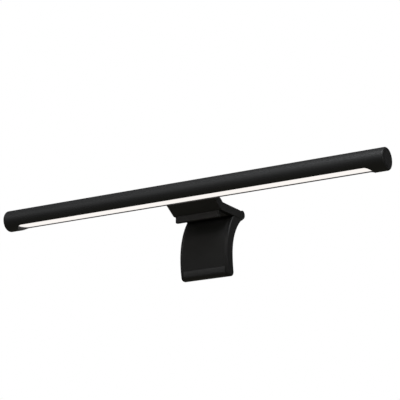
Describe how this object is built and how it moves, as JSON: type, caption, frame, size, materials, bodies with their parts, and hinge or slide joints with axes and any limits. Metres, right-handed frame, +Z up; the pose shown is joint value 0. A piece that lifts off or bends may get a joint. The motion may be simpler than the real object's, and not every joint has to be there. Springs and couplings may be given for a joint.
{
  "type": "clip-on light bar",
  "caption": "Slim round light bar with a lit slot underneath, held in a magnetic seat on a clamp that hooks over a panel's top edge and grips its back with a sprung curved leg.",
  "frame": {"origin": "middle of the underside of the pad that rests on the panel's top edge", "axes": "+X along the light bar, +Y behind the panel, +Z up"},
  "size_m": [0.448, 0.0846, 0.093],
  "materials": {
    "tube_coat": "fine matte black coating",
    "cap_plastic": "moulded, lightly textured",
    "clamp_plastic": "moulded, fine spark-eroded texture",
    "opal": "opal, lit from behind",
    "white_plastic": "matte white",
    "board_white": "white solder mask",
    "board_green": "green solder mask",
    "led_warm": "phosphor",
    "led_cool": "phosphor",
    "black_component": "moulded epoxy",
    "ferrite": "sintered",
    "can_aluminium": "drawn can",
    "spreader_aluminium": "extruded",
    "brass": "turned",
    "bush_plastic": "natural, self-lubricating",
    "zinc_steel": "zinc plated",
    "black_steel": "black phosphate",
    "nickel": "nickel plated",
    "cast_weight": "cast, painted",
    "grip_rubber": "matte silicone rubber"
  },
  "bodies": {
    "clamp": {"arm_shell": "clamp_plastic", "arm_cover": "clamp_plastic", "cover_screws": "black_steel", "arm_plate": "black_steel", "seat_magnets": "nickel", "magnet_yoke": "black_steel", "seat_liner": "grip_rubber", "front_lip": "clamp_plastic", "lip_pad": "grip_rubber", "rest_pad": "grip_rubber", "hinge_pin": "zinc_steel", "torsion_spring": "zinc_steel"},
    "light_bar": {"bar_housing": "tube_coat", "end_cap_left": "cap_plastic", "end_cap_right": "cap_plastic", "diffuser": "opal", "reflector": "white_plastic", "led_board": "board_white", "leds_warm": "led_warm", "leds_cool": "led_cool", "heat_spreader": "spreader_aluminium", "chassis_screws": "zinc_steel", "driver_board": "board_green", "board_standoffs": "brass", "board_screws": "zinc_steel", "board_header": "black_component", "driver_chip": "black_component", "power_inductor": "ferrite", "board_capacitors": "can_aluminium", "power_socket": "zinc_steel", "keeper_plate": "black_steel"},
    "rear_leg": {"leg_shell": "clamp_plastic", "leg_cover": "clamp_plastic", "leg_screws": "black_steel", "leg_pad": "grip_rubber", "counterweight": "cast_weight", "hinge_bushes": "bush_plastic", "hinge_caps": "cap_plastic"}
  },
  "joints": [
    {"name": "bar_tilt", "type": "hinge", "parent": "clamp", "child": "light_bar", "pos_m": [0, -0.037, 0.017], "axis": [1, 0, 0], "range_deg": [-17, 8]},
    {"name": "leg_swing", "type": "hinge", "parent": "clamp", "child": "rear_leg", "pos_m": [0, 0.0316, 0.0057], "axis": [1, 0, 0], "range_deg": [0, 28], "stiffness_Nm_per_rad": 0.12, "springref_deg": -34.38, "deforming": ["torsion_spring"]}
  ]
}
